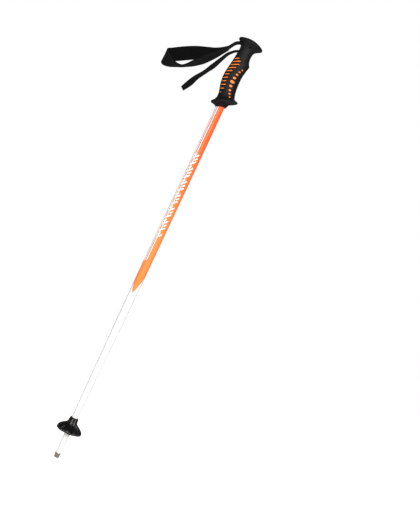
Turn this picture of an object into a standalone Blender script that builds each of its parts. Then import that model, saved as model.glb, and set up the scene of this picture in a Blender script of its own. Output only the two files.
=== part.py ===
# Ski pole: tapered tube, two-shot moulded grip, webbing wrist strap, lobed basket and steel tip.
# +Z runs up the shaft, +X is the side with the finger ledge, the strap leaves towards -X.
# Lengths below are in millimetres and become metres in add_mesh and turned.

import math

import bmesh
import bpy
from mathutils import Matrix, Vector

MM = 0.001
GAP = 0.3                      # clearance between neighbouring solids
MERGE = 0.00001                # welding distance of the turned shapes, metres

POLE_LENGTH = 950.0
TURN_STEPS = 32
RING_POINTS = 26               # points round the grip
SHARP_ANGLE = math.radians(35)

# shaft: outer radius at each height; the wall is even
SHAFT_WALL = 1.2
BORE_BOTTOM = 780.0            # the grip's bores are cut from below it
SHAFT_TOP, SHAFT_BOTTOM = 905.0, 60.0
SHAFT_TAPER = [(9.0, SHAFT_TOP), (9.0, 400.0), (8.75, 340.0), (8.4, 281.0), (7.7, 195.0),
               (6.65, 109.0), (6.15, SHAFT_BOTTOM)]

# tip and ferrule
CROWN_TOP = 10.1
CROWN_TOP_RADIUS, CROWN_RADIUS = 6.0, 4.6
CROWN_TEETH = 6
TOOTH_NOTCH = [(-1.8, -0.5), (1.8, -0.5), (0.0, 5.0)]
INSERT_RADIUS = 1.8            # hard insert whose flat end meets the ground
SHANK_RADIUS, SHANK_TOP = 2.8, 31.0
FERRULE_TOP = 89.4
COLLAR_RADIUS = 7.4            # outer radius of the ferrule round the shaft
BEAD_RADIUS = 9.0              # retaining bead under the basket's hub

# basket
BASKET_LOBES = 7
BASKET_RADIUS = 27.3
BASKET_STEPS = 63
HUB_TOP = 90.4
HUB_RIBS = 9
RIB_HEIGHT = 0.9
RIB_STEPS = (3, 4, 5)          # which steps of each rib's share of the turn stand proud
HUB_LIP = 6.9                  # inner radius of the lip that closes on the shaft over the ferrule
LOBE_TURN = math.radians(-4.3)  # the front lobe's centre, turned from -Y towards +X

# grip outline, bottom to top: front (x, z), back (x, z), half depth along Y
GRIP_STATIONS = [
    ((10.9, 799.8), (-9.2, 794.1), 10.9), ((13.4, 805.6), (-11.9, 796.2), 12.8),
    ((16.5, 810.6), (-14.8, 797.4), 15.6), ((27.6, 817.0), (-21.9, 799.0), 22.2),
    ((29.2, 818.6), (-22.9, 800.4), 23.0), ((28.9, 820.0), (-22.5, 802.2), 22.7),
    ((25.4, 821.1), (-19.9, 804.8), 19.6), ((21.6, 823.0), (-17.4, 809.0), 16.8),
    ((19.4, 826.4), (-15.8, 813.6), 14.8), ((17.9, 831.0), (-15.5, 819.0), 13.8),
    ((16.6, 836.4), (-16.2, 825.2), 13.6), ((15.7, 842.6), (-18.1, 832.2), 13.9),
    ((15.1, 849.4), (-20.2, 840.2), 14.3), ((14.8, 856.6), (-21.7, 848.8), 14.6),
    ((14.6, 864.2), (-22.4, 857.6), 14.7), ((15.1, 871.8), (-22.2, 866.4), 14.6),
    ((16.0, 879.0), (-21.2, 874.8), 14.3), ((17.5, 886.6), (-19.9, 883.0), 13.9),
    ((19.2, 893.6), (-18.7, 891.2), 13.6), ((19.8, 896.6), (-18.1, 894.8), 13.4),
    ((18.3, 899.6), (-17.6, 898.6), 13.2), ((16.2, 903.4), (-17.0, 903.0), 13.0),
    ((14.7, 909.0), (-16.3, 909.6), 12.9), ((14.3, 915.4), (-15.6, 916.6), 12.9),
    ((14.8, 921.2), (-15.2, 923.2), 13.1), ((16.2, 925.6), (-15.4, 928.2), 13.8),
    ((18.9, 929.2), (-16.5, 932.4), 15.2), ((23.0, 932.1), (-18.9, 936.1), 17.6),
    ((28.1, 934.8), (-22.9, 939.4), 20.3)]
CAP_STATIONS = [
    ((28.3, 935.2), (-23.2, 939.8), 20.4), ((29.8, 937.4), (-24.9, 942.3), 21.4),
    ((29.3, 939.2), (-24.5, 944.3), 21.1), ((26.0, 941.7), (-21.3, 946.1), 18.8),
    ((20.2, 944.8), (-16.5, 947.7), 15.0), ((13.0, 947.5), (-11.0, 949.0), 10.4),
    ((6.0, 949.3), (-5.5, 949.8), 5.2), ((1.2, 949.95), (-1.2, POLE_LENGTH), 1.2)]
GRIP_POWER = 2.25              # superellipse power of the grip's sections
CORE_STATIONS = slice(9, 23)   # the stretch of the grip that the orange core fills
CORE_INSET = (3.0, 2.2)        # skin thickness over the core, along the section and across it
CORE_FOOT = ((12.0, 806.0), (-12.0, 804.0), 11.4)
SHELL_BORE_TOP = 830.0         # inside the core's room
INLAY_REACH = 30.0             # half length of the columns that shape the inlays
DOT_SIDES, BAR_END_POINTS = 10, 4

# orange dots: an arc down each side, the widest in the middle
DOT_ARC_CENTRE = (60.3, 852.3)
DOT_ARC_RADIUS = 59.0
DOTS = [(0.0, 10.3, 6.4), (9.0, 7.5, 5.1), (17.5, 5.9, 3.9), (24.4, 5.4, 3.5), (30.4, 3.6, 3.3)]
# orange bars: the front end's x of each, from the top one down
BAR_FRONTS = [-6.4, -1.3, -0.7, -4.2, -8.2, -11.0, -11.0, -11.0, -8.7, -8.9, -11.3]
BAR_TOP, BAR_STEP, BAR_WIDTH = 899.3, 7.5, 2.5
BAR_BACK_INSET = 2.2           # the bars stop this far short of the grip's back edge
BAR_SLOPES = (0.45, 0.33)      # rise towards the front, top bar and bottom bar

# head: cavity, cross pin and wedge
CAVITY_X, CAVITY_Y = (-11.3, 10.3), 8.0
CAVITY_FLOOR, CAVITY_TOP = 915.5, 942.0
PIN_X, PIN_Z = 5.2, 930.5
PIN_RADIUS, PIN_HALF_LENGTH = 1.4, 13.4
PIN_SIDES = 20
PLUG_X, PLUG_BOTTOM = (-0.5, 9.5), 935.5
WEDGE_OUTLINE = [(-10.6, 920.9), (-1.0, 926.0), (-1.0, 929.0), (-10.6, 929.0)]
WEDGE_ORIGIN = Vector((-5.8, 0.0, 929.0))
LOOP_SLOT = [(-10.0, 932.3), (-14.5, 931.9), (-17.5, 930.4), (-26.0, 924.0), (-26.0, 943.0),
             (-10.0, 943.0)]
TAIL_SLOT = [(-10.0, 917.0), (-12.6, 916.6), (-18.0, 911.0), (-18.0, 920.9), (-10.0, 920.6)]
SLOT_CLEARANCE = 0.1           # the slots are a little wider than the cavity

# strap
WEBBING = 1.5                  # thickness of the webbing
WEBBING_WIDTH = 15.0           # where it passes through the head
LINING, LINING_GAP = 1.2, 0.8
LOOP_HINGE = Vector((-15.0, 0.0, 935.4))
TAIL_HINGE = Vector((-13.2, 0.0, 918.6))
LAYER_OFFSET = 1.0             # half the distance between the loop's two layers at the head
EXIT_SLOPE = math.radians(10)
NOSE_STEPS, WRAP_STEPS = 6, 8  # sections round the loop's inner end and round the pin
# Each station: one edge (x, z), the other edge (x, z), the middle's y, the width across.
LOOP_STATIONS = [
    (-20.0, 935.6, -20.0, 935.2, 0.0, 15.0), (-26.8, 931.8, -26.5, 931.4, 0.0, 15.0),
    (-33.1, 924.2, -32.3, 923.5, 0.5, 15.2), (-39.4, 916.4, -36.6, 911.1, 2.5, 18.0),
    (-57.8, 905.3, -51.3, 893.0, 6.5, 24.0), (-76.7, 899.6, -67.4, 880.8, 10.0, 27.0),
    (-96.0, 894.1, -86.4, 870.6, 13.0, 28.5), (-114.5, 886.4, -103.7, 860.2, 14.0, 29.0),
    (-131.3, 876.3, -121.2, 849.7, 12.5, 29.3), (-142.6, 867.2, -136.1, 840.7, 7.5, 29.3),
    (-149.3, 861.3, -149.9, 832.0, 0.0, 29.5), (-137.7, 849.9, -145.0, 826.2, -8.0, 29.3),
    (-122.4, 837.8, -131.4, 827.8, -13.0, 29.3), (-108.4, 834.6, -116.0, 834.6, -14.7, 29.3),
    (-97.9, 840.2, -104.0, 840.0, -14.5, 28.8), (-83.8, 859.0, -86.1, 850.4, -13.5, 28.4),
    (-69.8, 878.2, -70.5, 862.2, -11.0, 27.5), (-58.7, 891.5, -56.1, 878.9, -8.0, 23.5),
    (-48.5, 903.3, -44.7, 895.9, -4.0, 18.5), (-40.2, 911.0, -38.4, 908.0, -1.5, 16.5),
    (-31.5, 922.8, -30.7, 922.2, -0.3, 15.2), (-25.5, 930.3, -25.2, 929.9, 0.0, 15.0),
    (-19.6, 933.7, -19.6, 933.3, 0.0, 15.0)]
LINING_STATIONS = (6, 15)      # the lining runs between these stations of the loop
TAIL_STATIONS = [
    (-17.4, 917.2, -17.2, 916.7, 0.0, 15.0), (-23.6, 912.9, -23.2, 912.4, 0.0, 15.0),
    (-33.7, 903.3, -31.3, 901.7, -0.5, 15.0), (-43.9, 885.4, -38.8, 883.6, -1.0, 15.0),
    (-53.6, 866.9, -46.4, 864.9, -1.5, 15.0), (-62.0, 850.0, -56.1, 849.8, -2.0, 15.0),
    (-74.1, 832.9, -66.6, 831.3, -2.0, 15.0), (-82.3, 819.8, -72.3, 815.0, -2.0, 15.0),
    (-90.3, 800.0, -84.2, 796.7, -2.0, 15.0)]
SPLINE_STEPS = 3               # sections between two stations
RIBBON_CUTS = 4                # faces across a ribbon's width


# ---- scene, materials and small helpers ----

def clear_scene():
    for obj in list(bpy.data.objects):
        bpy.data.objects.remove(obj, do_unlink=True)


def new_collection(name):
    collection = bpy.data.collections.new(name)
    bpy.context.scene.collection.children.link(collection)
    return collection


def make_material(name, colour, roughness, metallic=0.0):
    material = bpy.data.materials.new(name)
    material.use_nodes = True
    shader = material.node_tree.nodes["Principled BSDF"]
    shader.inputs["Base Color"].default_value = (*colour, 1.0)
    shader.inputs["Roughness"].default_value = roughness
    shader.inputs["Metallic"].default_value = metallic
    material.diffuse_color = (*colour, 1.0)
    return material


clear_scene()
PARTS = new_collection("ski_pole")
CUTTERS = new_collection("cutters")


def add_mesh(name, verts, faces, material=None, origin=Vector((0, 0, 0))):
    """A closed mesh object; without a material it is a cutter."""
    mesh = bpy.data.meshes.new(name)
    mesh.from_pydata([(Vector(v) - origin) * MM for v in verts], [], faces)
    work = bmesh.new()
    work.from_mesh(mesh)
    bmesh.ops.recalc_face_normals(work, faces=work.faces)
    work.to_mesh(mesh)
    work.free()
    obj = bpy.data.objects.new(name, mesh)
    obj.location = origin * MM
    if material:
        mesh.materials.append(material)
        PARTS.objects.link(obj)
        mesh.shade_smooth()
        mesh.set_sharp_from_angle(angle=SHARP_ANGLE)
    else:
        CUTTERS.objects.link(obj)
        hide_cutter(obj)
    return obj


def hide_cutter(obj):
    obj.hide_render = True
    obj.display_type = "WIRE"


def boolean(obj, cutter, operation="DIFFERENCE"):
    modifier = obj.modifiers.new(operation.lower(), "BOOLEAN")
    modifier.object = cutter
    modifier.operation = operation
    modifier.solver = "EXACT"


def loft(rings):
    """Vertices and faces of a solid through closed rings of equal count, with flat ends."""
    count = len(rings[0])
    verts = [point for ring in rings for point in ring]
    faces = [tuple(range(count)), tuple(range(len(verts) - count, len(verts)))]
    for row in range(len(rings) - 1):
        for i in range(count):
            a, b = row * count + i, row * count + (i + 1) % count
            faces.append((a, b, b + count, a + count))
    return verts, faces


def closed_loft(rings):
    """The same without ends: the last ring joins the first."""
    count, rows = len(rings[0]), len(rings)
    verts = [point for ring in rings for point in ring]
    faces = []
    for row in range(rows):
        here, there = row * count, ((row + 1) % rows) * count
        for i in range(count):
            j = (i + 1) % count
            faces.append((here + i, here + j, there + j, there + i))
    return verts, faces


def turned(name, profile, material=None, steps=TURN_STEPS):
    """A solid of revolution about Z from (radius, z) points running down its outer side."""
    mesh = bpy.data.meshes.new(name)
    closed = profile[0][0] > 0
    count = len(profile)
    edges = [(i, (i + 1) % count) for i in range(count if closed else count - 1)]
    mesh.from_pydata([(r * MM, 0, z * MM) for r, z in profile], edges, [])
    obj = bpy.data.objects.new(name, mesh)
    screw = obj.modifiers.new("screw", "SCREW")
    screw.steps = screw.render_steps = steps
    screw.use_merge_vertices = True
    screw.merge_threshold = MERGE
    screw.use_smooth_shade = True
    if material:
        mesh.materials.append(material)
        PARTS.objects.link(obj)
    else:
        CUTTERS.objects.link(obj)
        hide_cutter(obj)
    return obj


def prism_solid(outline, half_y):
    """An (x, z) outline drawn out along Y."""
    return loft([[Vector((x, y, z)) for x, z in outline] for y in (-half_y, half_y)])


def combine(solids):
    """Several separate solids as one set of vertices and faces."""
    verts, faces = [], []
    for solid_verts, solid_faces in solids:
        base = len(verts)
        verts += solid_verts
        faces += [tuple(base + i for i in face) for face in solid_faces]
    return verts, faces


# ---- grip ----

def section(station, inset=(0.0, 0.0), count=RING_POINTS):
    """A superellipse ring between a front point and a back point."""
    (front_x, front_z), (back_x, back_z), depth = station
    front, back = Vector((front_x, 0, front_z)), Vector((back_x, 0, back_z))
    centre, half = (front + back) / 2, (front - back) / 2
    half = half * (half.length - inset[0]) / half.length
    across = Vector((0, depth - inset[1], 0))
    ring = []
    for i in range(count):
        angle = 2 * math.pi * i / count
        c, s = math.cos(angle), math.sin(angle)
        u = math.copysign(abs(c) ** (2 / GRIP_POWER), c)
        v = math.copysign(abs(s) ** (2 / GRIP_POWER), s)
        ring.append(centre + half * u + across * v)
    return ring


def grip_form():
    return loft([section(station) for station in GRIP_STATIONS])


def core_form(clearance):
    inset = tuple(depth - clearance for depth in CORE_INSET)
    (front_x, front_z), (back_x, back_z), depth = CORE_FOOT
    foot = ((front_x + clearance, front_z - clearance), (back_x - clearance, back_z - clearance),
            depth + clearance)
    rings = [section(foot)] + [section(station, inset) for station in GRIP_STATIONS[CORE_STATIONS]]
    lift = Vector((0, 0, clearance))
    rings[-1] = [point + lift for point in rings[-1]]
    return loft(rings)


def back_edge_x(z):
    """The grip's back edge at a height, between two stations."""
    backs = [station[1] for station in GRIP_STATIONS]
    for (x0, z0), (x1, z1) in zip(backs, backs[1:]):
        if z0 <= z <= z1:
            return x0 + (x1 - x0) * (z - z0) / (z1 - z0)
    return backs[-1][0]


def dot_outline(offset, width, height, clearance):
    centre_x, centre_z = DOT_ARC_CENTRE
    x = centre_x - math.sqrt(DOT_ARC_RADIUS ** 2 - offset ** 2)
    a, b = width / 2 + clearance, height / 2 + clearance
    angles = [2 * math.pi * i / DOT_SIDES for i in range(DOT_SIDES)]
    return [(x + a * math.cos(t), centre_z + offset + b * math.sin(t)) for t in angles]


def bar_outline(index, clearance):
    share = index / (len(BAR_FRONTS) - 1)
    slope = BAR_SLOPES[0] + (BAR_SLOPES[1] - BAR_SLOPES[0]) * share
    tilt = math.atan(slope)
    radius = BAR_WIDTH / 2
    back_z = BAR_TOP - BAR_STEP * index
    back_x = back_edge_x(back_z) + BAR_BACK_INSET + radius
    front_x = max(BAR_FRONTS[index] - radius, back_x + 0.5)
    ends = ((front_x, back_z + (front_x - back_x) * slope, tilt - math.pi / 2),
            (back_x, back_z, tilt + math.pi / 2))
    outline = []
    for x, z, start in ends:
        for i in range(BAR_END_POINTS):
            t = start + math.pi * i / (BAR_END_POINTS - 1)
            outline.append((x + (radius + clearance) * math.cos(t),
                            z + (radius + clearance) * math.sin(t)))
    return outline


def inlay_columns(clearance):
    """Columns along Y through every dot and bar."""
    solids = []
    for offset, width, height in DOTS:
        for side in ((1, -1) if offset else (1,)):
            outline = dot_outline(side * offset, width, height, clearance)
            solids.append(prism_solid(outline, INLAY_REACH))
    for index in range(len(BAR_FRONTS)):
        solids.append(prism_solid(bar_outline(index, clearance), INLAY_REACH))
    return combine(solids)


def shaft_bore(name, top):
    radius = SHAFT_TAPER[0][0] + GAP
    return turned(name, [(0, top), (radius, top), (radius, BORE_BOTTOM), (0, BORE_BOTTOM)])


def make_grip_core(material):
    inlays = add_mesh("cut_inlays", *inlay_columns(0.0))
    boolean(inlays, add_mesh("cut_grip_form", *grip_form()), "INTERSECT")
    core = add_mesh("grip_core", *core_form(0.0), material)
    boolean(core, inlays, "UNION")
    boolean(core, shaft_bore("cut_core_bore", SHAFT_TOP + GAP))
    return core


def make_grip_shell(material):
    shell = add_mesh("grip_shell", *grip_form(), material)
    boolean(shell, add_mesh("cut_core", *core_form(GAP)))
    boolean(shell, add_mesh("cut_windows", *inlay_columns(GAP)))
    boolean(shell, shaft_bore("cut_shell_bore", SHELL_BORE_TOP))
    left, right = CAVITY_X
    cavity = [(left, CAVITY_FLOOR), (right, CAVITY_FLOOR), (right, CAVITY_TOP), (left, CAVITY_TOP)]
    boolean(shell, add_mesh("cut_cavity", *prism_solid(cavity, CAVITY_Y)))
    slot_y = CAVITY_Y + SLOT_CLEARANCE
    boolean(shell, add_mesh("cut_loop_slot", *prism_solid(LOOP_SLOT, slot_y)))
    boolean(shell, add_mesh("cut_tail_slot", *prism_solid(TAIL_SLOT, slot_y + SLOT_CLEARANCE)))
    boolean(shell, add_mesh("cut_pin_hole", *pin_solid(PIN_RADIUS + GAP, INLAY_REACH)))
    return shell


def pin_solid(radius, half_length):
    angles = [2 * math.pi * i / PIN_SIDES for i in range(PIN_SIDES)]
    outline = [(PIN_X + radius * math.cos(t), PIN_Z + radius * math.sin(t)) for t in angles]
    return prism_solid(outline, half_length)


def make_top_cap(material):
    cap = add_mesh("top_cap", *loft([section(station) for station in CAP_STATIONS]), material)
    left, right = PLUG_X
    top = CAP_STATIONS[1][0][1] + 3
    outline = [(left, PLUG_BOTTOM), (right, PLUG_BOTTOM), (right, top), (left, top)]
    boolean(cap, add_mesh("cut_plug", *prism_solid(outline, CAVITY_Y - GAP)), "UNION")
    return cap


# ---- strap ----

def edge_points(station):
    """Both edges of a ribbon: the width that the (x, z) points don't show lies along Y."""
    x0, z0, x1, z1, y, width = station
    seen = math.hypot(x1 - x0, z1 - z0)
    reach = math.sqrt(max(width ** 2 - seen ** 2, 0)) / 2
    return Vector((x0, y - reach, z0)), Vector((x1, y + reach, z1))


def catmull_rom(a, b, c, d, t):
    return 0.5 * (2 * b + (c - a) * t + (2 * a - 5 * b + 4 * c - d) * t * t
                  + (3 * b - a - 3 * c + d) * t ** 3)


def smooth_edges(stations):
    """Edge pairs along a smooth curve through the stations."""
    pairs = [edge_points(station) for station in stations]
    padded = [pairs[0]] + pairs + [pairs[-1]]
    result = []
    for i in range(len(pairs) - 1):
        for step in range(SPLINE_STEPS):
            t = step / SPLINE_STEPS
            result.append(tuple(catmull_rom(*(padded[i + k][side] for k in range(4)), t)
                                for side in (0, 1)))
    return result + [pairs[-1]]


def ribbon_rings(pairs, thickness, closed=False, shift=0.0, trim=0.0):
    """Rectangular sections along edge pairs; shift moves them along the ribbon's normal."""
    count = len(pairs)
    middles = [(a + b) / 2 for a, b in pairs]
    rings = []
    for i, (a, b) in enumerate(pairs):
        before = middles[(i - 1) % count] if closed else middles[max(i - 1, 0)]
        after = middles[(i + 1) % count] if closed else middles[min(i + 1, count - 1)]
        along, across = (after - before).normalized(), (a - b).normalized()
        normal = across.cross(along).normalized()
        a, b = a - across * trim + normal * shift, b + across * trim + normal * shift
        half = normal * thickness / 2
        line = [a.lerp(b, step / RIBBON_CUTS) for step in range(RIBBON_CUTS + 1)]
        rings.append([point + half for point in line] + [point - half for point in reversed(line)])
    return rings


def nose_pairs(start, end):
    """Sections round the loop's hinge axis, from one angle to another."""
    pairs = []
    for i in range(NOSE_STEPS + 1):
        angle = start + (end - start) * i / NOSE_STEPS
        point = LOOP_HINGE + Vector((math.cos(angle), 0, math.sin(angle))) * LAYER_OFFSET
        side = Vector((0, WEBBING_WIDTH / 2, 0))
        pairs.append((point - side, point + side))
    return pairs


def make_strap_loop(material, lining_material):
    pairs = smooth_edges(LOOP_STATIONS)
    # the two layers join in a half turn round the hinge axis, inside the head
    quarter = math.pi / 2
    nose = nose_pairs(EXIT_SLOPE - quarter, EXIT_SLOPE + quarter)
    rings = ribbon_rings(pairs + nose, WEBBING, closed=True)
    loop = add_mesh("strap_loop", *closed_loft(rings), material, LOOP_HINGE)
    first, last = (index * SPLINE_STEPS for index in LINING_STATIONS)
    shift = WEBBING / 2 + LINING_GAP + LINING / 2
    rings = ribbon_rings(pairs + nose, LINING, closed=True, shift=shift, trim=1.0)
    add_mesh("strap_lining", *loft(rings[first:last + 1]), lining_material, LOOP_HINGE)
    return loop


def make_strap_tail(material):
    pairs = smooth_edges(TAIL_STATIONS)
    middle = (pairs[0][0] + pairs[0][1]) / 2
    direction = (middle - TAIL_HINGE).normalized()
    side = Vector((0, WEBBING_WIDTH / 2, 0))
    rings = ribbon_rings([(TAIL_HINGE - side, TAIL_HINGE + side)] + pairs, WEBBING)
    # the end in the slot is rounded about the hinge axis
    rounded = []
    for angle in (math.pi * 0.1, math.pi * 0.25, math.pi * 0.4):
        back = -direction * WEBBING / 2 * math.cos(angle)
        rounded.append([TAIL_HINGE + back + flatten(point - TAIL_HINGE, direction, math.sin(angle))
                        for point in rings[0]])
    return add_mesh("strap_tail", *loft(rounded + rings), material, TAIL_HINGE)


def flatten(offset, direction, share):
    """An offset with its part that is neither along the strap nor across it scaled down."""
    across = Vector((0, offset.y, 0))
    rest = offset - across
    return across + (rest - direction * rest.dot(direction)) * share


def make_strap_anchor(material):
    """Webbing inside the head: sewn double behind the pin, round it, and down to the lower slot."""
    wrap = PIN_RADIUS + GAP + WEBBING / 2
    path = [(-12.6, 935.2, 3.5), (-6.0, 934.0, 3.5), (-3.0, 933.3, 3.4), (-1.2, 933.6, 1.8)]
    for i in range(WRAP_STEPS + 1):
        angle = math.pi / 2 - math.pi * i / WRAP_STEPS
        path.append((PIN_X + wrap * math.cos(angle), PIN_Z + wrap * math.sin(angle), WEBBING))
    path += [(-2.0, 923.6, WEBBING), (-8.0, 920.2, WEBBING), (-11.7, 918.5, WEBBING)]
    upper, lower = [], []
    for i, (x, z, thickness) in enumerate(path):
        before, after = path[max(i - 1, 0)], path[min(i + 1, len(path) - 1)]
        along = Vector((after[0] - before[0], after[1] - before[1])).normalized()
        normal = Vector((-along.y, along.x)) * thickness / 2
        upper.append((x + normal.x, z + normal.y))
        lower.append((x - normal.x, z - normal.y))
    return add_mesh("strap_anchor", *prism_solid(upper + lower[::-1], WEBBING_WIDTH / 2), material)


def make_strap_pin(material):
    return add_mesh("strap_pin", *pin_solid(PIN_RADIUS, PIN_HALF_LENGTH), material)


def make_strap_wedge(material):
    solid = prism_solid(WEDGE_OUTLINE, CAVITY_Y - GAP * 2)
    return add_mesh("strap_wedge", *solid, material, WEDGE_ORIGIN)


# ---- shaft, ferrule and tip ----

def shaft_radius(z):
    for (r0, z0), (r1, z1) in zip(SHAFT_TAPER, SHAFT_TAPER[1:]):
        if z1 <= z <= z0:
            return r1 + (r0 - r1) * (z - z1) / (z0 - z1)
    return SHAFT_TAPER[-1][0]


def make_shaft(material):
    inner = [(radius - SHAFT_WALL, z) for radius, z in reversed(SHAFT_TAPER)]
    return turned("shaft", SHAFT_TAPER + inner, material)


def make_ferrule(material):
    socket_floor = SHAFT_BOTTOM - GAP
    hole_radius = SHANK_RADIUS + GAP
    profile = [(0, socket_floor), (shaft_radius(SHAFT_BOTTOM) + GAP, socket_floor),
               (shaft_radius(FERRULE_TOP) + GAP, FERRULE_TOP), (COLLAR_RADIUS - 0.4, FERRULE_TOP),
               (COLLAR_RADIUS, FERRULE_TOP - 0.6), (COLLAR_RADIUS, 71.6), (BEAD_RADIUS, 71.2),
               (BEAD_RADIUS, 69.6), (COLLAR_RADIUS + 0.4, 66.5), (COLLAR_RADIUS, 60.0), (6.4, 54.5),
               (5.85, 48.0), (5.4, 12.0), (5.2, CROWN_TOP + GAP), (hole_radius, CROWN_TOP + GAP),
               (hole_radius, SHANK_TOP + GAP), (0, SHANK_TOP + GAP)]
    return turned("ferrule", profile, material)


def make_tip(material):
    profile = [(0, SHANK_TOP), (SHANK_RADIUS, SHANK_TOP), (SHANK_RADIUS, CROWN_TOP),
               (CROWN_TOP_RADIUS - 0.3, CROWN_TOP), (CROWN_TOP_RADIUS, CROWN_TOP - 0.5),
               (CROWN_TOP_RADIUS, 8.4), (CROWN_RADIUS + 0.2, 1.2), (CROWN_RADIUS, 0.0),
               (CROWN_RADIUS - 0.9, 0.0), (INSERT_RADIUS + 0.7, 1.8), (INSERT_RADIUS, 1.8),
               (INSERT_RADIUS, 0.0), (0, 0)]
    tip = turned("tip", profile, material)
    teeth = []
    for i in range(CROWN_TEETH):
        turn = Matrix.Rotation(2 * math.pi * (i + 0.5) / CROWN_TEETH, 4, "Z")
        # a V notch across the rim, drawn out along the radius
        rings = [[turn @ Vector((x, y, z)) for y, z in TOOTH_NOTCH]
                 for x in (INSERT_RADIUS + 1.2, CROWN_TOP_RADIUS + 2.0)]
        teeth.append(loft(rings))
    boolean(tip, add_mesh("cut_teeth", *combine(teeth)))
    return tip


# ---- basket ----

def lobe_notch(angle):
    """1 in the middle of the gap between two lobes, falling to 0 within a few degrees."""
    period = 2 * math.pi / BASKET_LOBES
    front = -math.pi / 2 + LOBE_TURN
    offset = (angle - front + period / 2) % period
    distance = min(offset, period - offset)
    return math.exp(-(distance / math.radians(4.5)) ** 2)


def lobe_crown(angle):
    """The lobes' rounded outline: 0 at their middles, 1 between them."""
    front = -math.pi / 2 + LOBE_TURN
    return 0.5 - 0.5 * math.cos((angle - front) * BASKET_LOBES)


def basket_profile(angle, rib):
    """(radius, z) points: down the hub, out over the cone, round the rim and back inside."""
    outside = [(8.3, HUB_TOP), (8.5, 87.5), (9.1, 82.0), (10.2, 78.2)]
    outside = [(radius + rib * share, z) for (radius, z), share in zip(outside, (0.0, 0.9, 1.0, 0.8))]
    cone = [(15.0, 75.4), (19.5, 72.4), (23.4, 69.2), (26.3, 66.0), (BASKET_RADIUS, 63.3),
            (26.6, 60.9), (25.0, 61.2), (24.2, 64.4), (20.9, 68.4), (14.0, 73.4)]
    points = list(outside)
    for radius, z in cone:
        share = max((radius - 12.0) / (BASKET_RADIUS - 12.0), 0.0)
        pull = share ** 3 * (4.4 * lobe_notch(angle) + 1.2 * lobe_crown(angle))
        dip = share * (1.6 - share) * 1.4 * lobe_notch(angle)
        points.append((radius - pull, z - dip))
    bore = COLLAR_RADIUS + GAP
    lip = FERRULE_TOP + GAP
    return points + [(bore + 0.3, 72.4), (bore, 73.0), (bore, lip), (HUB_LIP, lip),
                     (HUB_LIP, HUB_TOP)]


def make_basket(material):
    rings = []
    for i in range(BASKET_STEPS):
        angle = 2 * math.pi * i / BASKET_STEPS
        rib = RIB_HEIGHT if i % (BASKET_STEPS // HUB_RIBS) in RIB_STEPS else 0.0
        rings.append([Vector((radius * math.cos(angle), radius * math.sin(angle), z))
                      for radius, z in basket_profile(angle, rib)])
    return add_mesh("basket", *closed_loft(rings), material, Vector((0, 0, HUB_TOP)))


def build():
    rubber = make_material("black_rubber", (0.018, 0.018, 0.02), 0.55)
    cap_plastic = make_material("black_cap", (0.02, 0.02, 0.021), 0.42)
    orange = make_material("orange_plastic", (0.92, 0.22, 0.03), 0.38)
    webbing = make_material("black_webbing", (0.012, 0.012, 0.013), 0.85)
    lining = make_material("black_lining", (0.016, 0.016, 0.017), 0.75)
    lacquer = make_material("orange_lacquer", (0.95, 0.18, 0.04), 0.22)
    white = make_material("white_plastic", (0.88, 0.88, 0.88), 0.35)
    basket_plastic = make_material("black_plastic", (0.018, 0.018, 0.019), 0.4)
    steel = make_material("steel", (0.55, 0.53, 0.5), 0.3, 1.0)
    make_shaft(lacquer)
    make_grip_core(orange)
    make_grip_shell(rubber)
    make_top_cap(cap_plastic)
    make_strap_pin(steel)
    make_strap_wedge(cap_plastic)
    make_strap_anchor(webbing)
    make_strap_loop(webbing, lining)
    make_strap_tail(webbing)
    make_ferrule(white)
    make_basket(basket_plastic)
    make_tip(steel)


build()
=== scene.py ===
import math

import bmesh
import bpy
from mathutils import Matrix, Vector, noise
from mathutils.bvhtree import BVHTree


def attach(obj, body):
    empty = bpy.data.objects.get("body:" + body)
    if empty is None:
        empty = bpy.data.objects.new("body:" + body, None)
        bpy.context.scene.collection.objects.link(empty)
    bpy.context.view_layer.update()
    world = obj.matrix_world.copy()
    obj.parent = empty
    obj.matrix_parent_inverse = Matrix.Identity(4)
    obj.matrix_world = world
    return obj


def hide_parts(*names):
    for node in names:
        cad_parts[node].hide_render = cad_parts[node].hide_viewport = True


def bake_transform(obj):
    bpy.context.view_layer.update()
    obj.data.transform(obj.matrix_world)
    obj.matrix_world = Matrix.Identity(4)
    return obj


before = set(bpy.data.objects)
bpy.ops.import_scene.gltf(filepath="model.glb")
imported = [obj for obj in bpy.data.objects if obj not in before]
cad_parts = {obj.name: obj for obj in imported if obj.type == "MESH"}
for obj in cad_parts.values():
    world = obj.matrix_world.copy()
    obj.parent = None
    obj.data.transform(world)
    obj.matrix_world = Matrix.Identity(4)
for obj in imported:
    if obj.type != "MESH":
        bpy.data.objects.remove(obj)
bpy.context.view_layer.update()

mm = 0.001          # the lists below are in millimetres, in the frame's own axes
scene = bpy.context.scene


# camera and lights

view = {
    "target": (0.1160, 0.0, 0.5002),
    "distance": 1.7,
    "roll": -25.13,          # degrees: the pole leans to the right
    "height": 1.0787,        # what the view takes in from top to bottom at the target
    "sensorHeight": 24.0,
    "clipStart": 0.05,
}


def makeCamera():
    data = bpy.data.cameras.new("studioCamera")
    camera = bpy.data.objects.new("studioCamera", data)
    scene.collection.objects.link(camera)
    turn = Matrix.Rotation(math.radians(view["roll"]), 4, "Y") @ Matrix.Rotation(math.pi / 2, 4, "X")
    back = Vector(view["target"]) - Vector((0, view["distance"], 0))
    camera.matrix_world = Matrix.Translation(back) @ turn
    data.sensor_fit = "VERTICAL"
    data.sensor_height = view["sensorHeight"]
    data.lens = view["sensorHeight"] * view["distance"] / view["height"]
    data.clip_start = view["clipStart"]
    scene.camera = camera


makeCamera()
print("camera ready")


# small helpers

def hexColour(text):
    # sRGB hex to the linear values that shaders take
    parts = [int(text[i:i + 2], 16) / 255 for i in (1, 3, 5)]
    return tuple(c / 12.92 if c <= 0.04045 else ((c + 0.055) / 1.055) ** 2.4 for c in parts) + (1.0,)


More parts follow.
